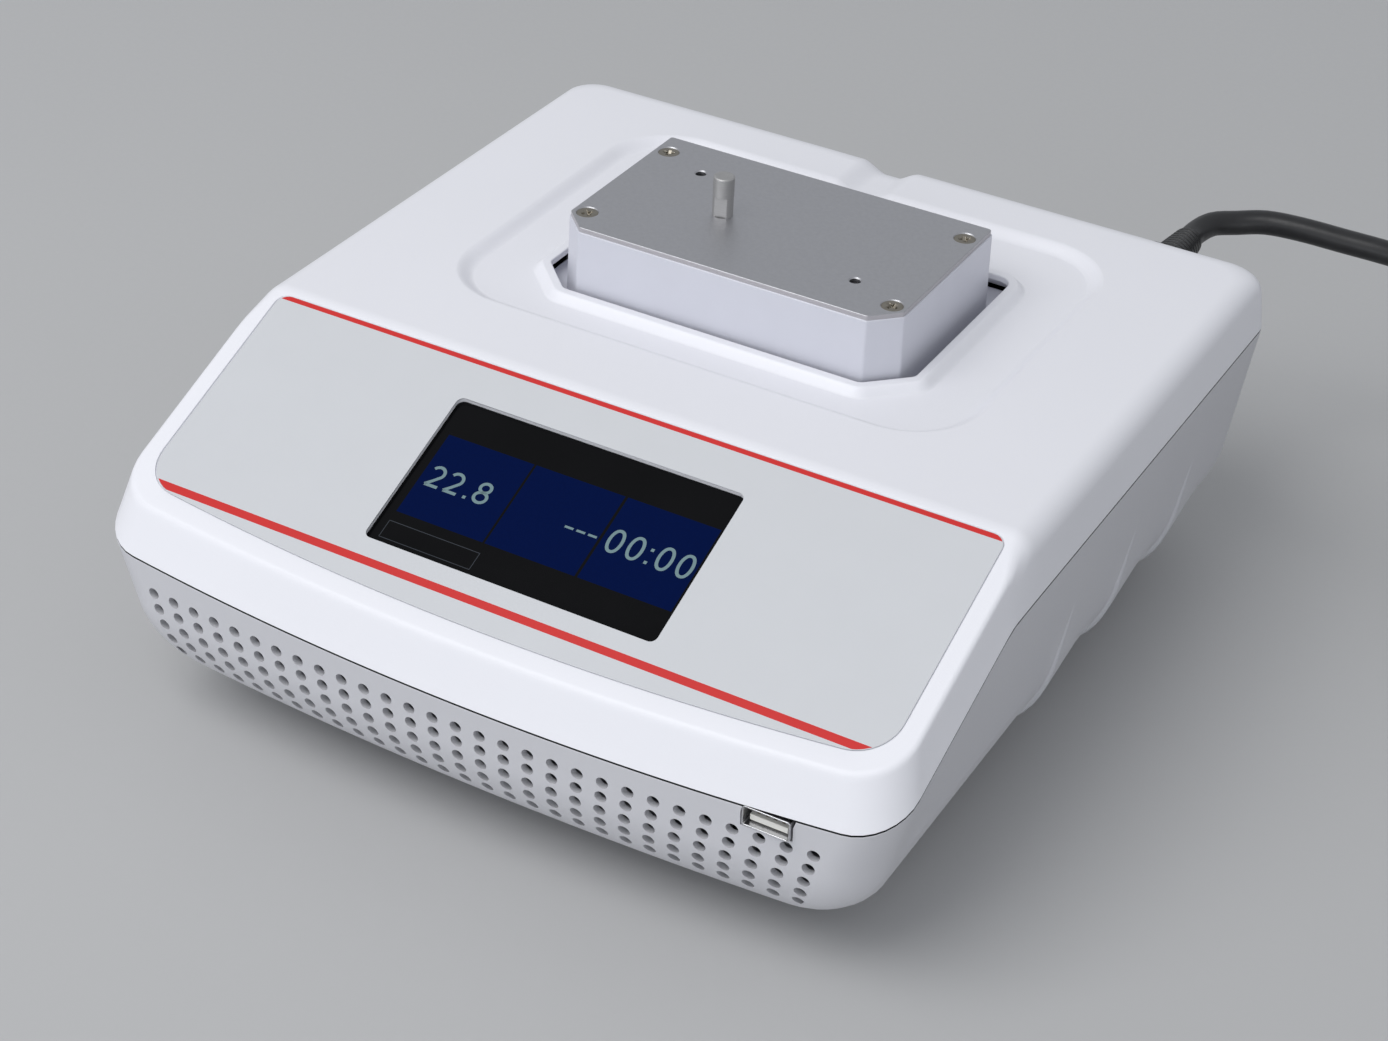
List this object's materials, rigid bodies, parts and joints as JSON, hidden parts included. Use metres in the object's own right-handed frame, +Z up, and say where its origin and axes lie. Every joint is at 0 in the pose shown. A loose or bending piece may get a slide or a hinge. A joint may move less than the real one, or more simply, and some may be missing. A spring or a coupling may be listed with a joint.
{
  "type": "dry block heater",
  "caption": "Low bench unit with a sloping display face and a heated aluminium block platform that orbits in an opening of the top, with perforated front vents, ribbed sides and a mains cord.",
  "frame": {"origin": "middle of the housing's footprint on the bench, at the underside of the feet", "axes": "+X to the right as seen from the front, +Y from the front to the back, +Z up"},
  "size_m": [0.459, 0.3687, 0.1385],
  "materials": {
    "housing_upper": "white moulded plastic with a fine texture",
    "housing_lower": "pale grey moulded plastic with a fine texture",
    "overlay": "satin polyester film with red lines",
    "display": "black cover glass over a colour display",
    "plate": "fine-blasted, grey anodised",
    "skirt": "smooth pale grey paint",
    "steel": "bright turned and plated steel",
    "bearing_steel": "ground",
    "dark_steel": "black",
    "sheet": "clear anodised sheet",
    "brass": "plain",
    "copper": "enamelled copper windings",
    "board": "green laminate",
    "heater": "silicone rubber heater mat",
    "insulation": "rigid insulating foam",
    "bush_plastic": "natural bearing plastic",
    "black_plastic": "black moulded plastic",
    "ceramic": "glazed ceramic with plated caps",
    "foot_rubber": "black rubber",
    "cord": "black cord sheath"
  },
  "bodies": {
    "housing": {"upper_housing": "housing_upper", "lower_housing": "housing_lower", "control_overlay": "overlay", "touch_glass": "display", "lcd_module": "sheet", "display_board": "board", "display_screws": "steel", "motor_stator": "copper", "bearing_block": "sheet", "shaft_bearings": "bearing_steel", "drive_bridge": "sheet", "bridge_posts": "steel", "bridge_screws": "steel", "idler_bearings": "bearing_steel", "base_plate": "sheet", "control_board": "board", "board_standoffs": "brass", "power_supply": "sheet", "usb_port": "bearing_steel", "usb_board": "board", "rear_panel": "sheet", "power_inlet": "black_plastic", "switch_body": "black_plastic", "serial_port": "steel", "fan_frame": "black_plastic", "case_screws": "steel", "rubber_feet": "foot_rubber", "cord_connector": "cord", "strain_relief": "cord", "power_cord": "cord", "cord_coil": "cord", "plug_lead": "cord", "mains_plug": "cord"},
    "platform": {"top_plate": "plate", "plate_screws": "steel", "locating_pin": "steel", "platform_skirt": "skirt", "heater_mat": "heater", "insulation_block": "insulation", "temperature_sensor": "steel", "carrier_plate": "sheet", "carrier_screws": "steel", "platform_bearing": "bearing_steel", "idler_bushes": "bush_plastic"},
    "drive": {"eccentric_shaft": "bearing_steel", "counterweight": "brass", "motor_rotor": "dark_steel"},
    "idler_1": {"idler_crank_1": "steel"},
    "idler_2": {"idler_crank_2": "steel"},
    "idler_3": {"idler_crank_3": "steel"},
    "idler_4": {"idler_crank_4": "steel"},
    "fan": {"fan_impeller": "black_plastic"},
    "rocker": {"power_rocker": "black_plastic"},
    "drawer": {"fuse_drawer": "black_plastic", "fuses": "ceramic"}
  },
  "joints": [
    {"name": "drive_spin", "type": "hinge", "parent": "housing", "child": "drive", "pos_m": [0, 0.0364, 0.05], "axis": [0, 0, 1], "continuous": true},
    {"name": "platform_orbit", "type": "hinge", "parent": "drive", "child": "platform", "pos_m": [0.0015, 0.0364, 0.09], "axis": [0, 0, 1], "continuous": true},
    {"name": "idler_1_spin", "type": "hinge", "parent": "housing", "child": "idler_1", "pos_m": [-0.038, 0.0164, 0.07], "axis": [0, 0, 1], "continuous": true},
    {"name": "idler_2_spin", "type": "hinge", "parent": "housing", "child": "idler_2", "pos_m": [0.038, 0.0164, 0.07], "axis": [0, 0, 1], "continuous": true},
    {"name": "idler_3_spin", "type": "hinge", "parent": "housing", "child": "idler_3", "pos_m": [0.038, 0.0564, 0.07], "axis": [0, 0, 1], "continuous": true},
    {"name": "idler_4_spin", "type": "hinge", "parent": "housing", "child": "idler_4", "pos_m": [-0.038, 0.0564, 0.07], "axis": [0, 0, 1], "continuous": true},
    {"name": "fan_spin", "type": "hinge", "parent": "housing", "child": "fan", "pos_m": [-0.062, 0.126, 0.06845], "axis": [0, 1, 0], "continuous": true},
    {"name": "rocker_tilt", "type": "hinge", "parent": "housing", "child": "rocker", "pos_m": [0.04, 0.1329, 0.076], "axis": [1, 0, 0], "range_deg": [-16, 0]},
    {"name": "fuse_drawer_slide", "type": "slide", "parent": "housing", "child": "drawer", "axis": [0, 1, 0], "range_m": [0, 0.018]}
  ],
  "couplings": [
    {"joint": "platform_orbit", "follows": "drive_spin", "ratio": -1},
    {"joint": "idler_1_spin", "follows": "drive_spin", "ratio": 1},
    {"joint": "idler_2_spin", "follows": "drive_spin", "ratio": 1},
    {"joint": "idler_3_spin", "follows": "drive_spin", "ratio": 1},
    {"joint": "idler_4_spin", "follows": "drive_spin", "ratio": 1}
  ]
}
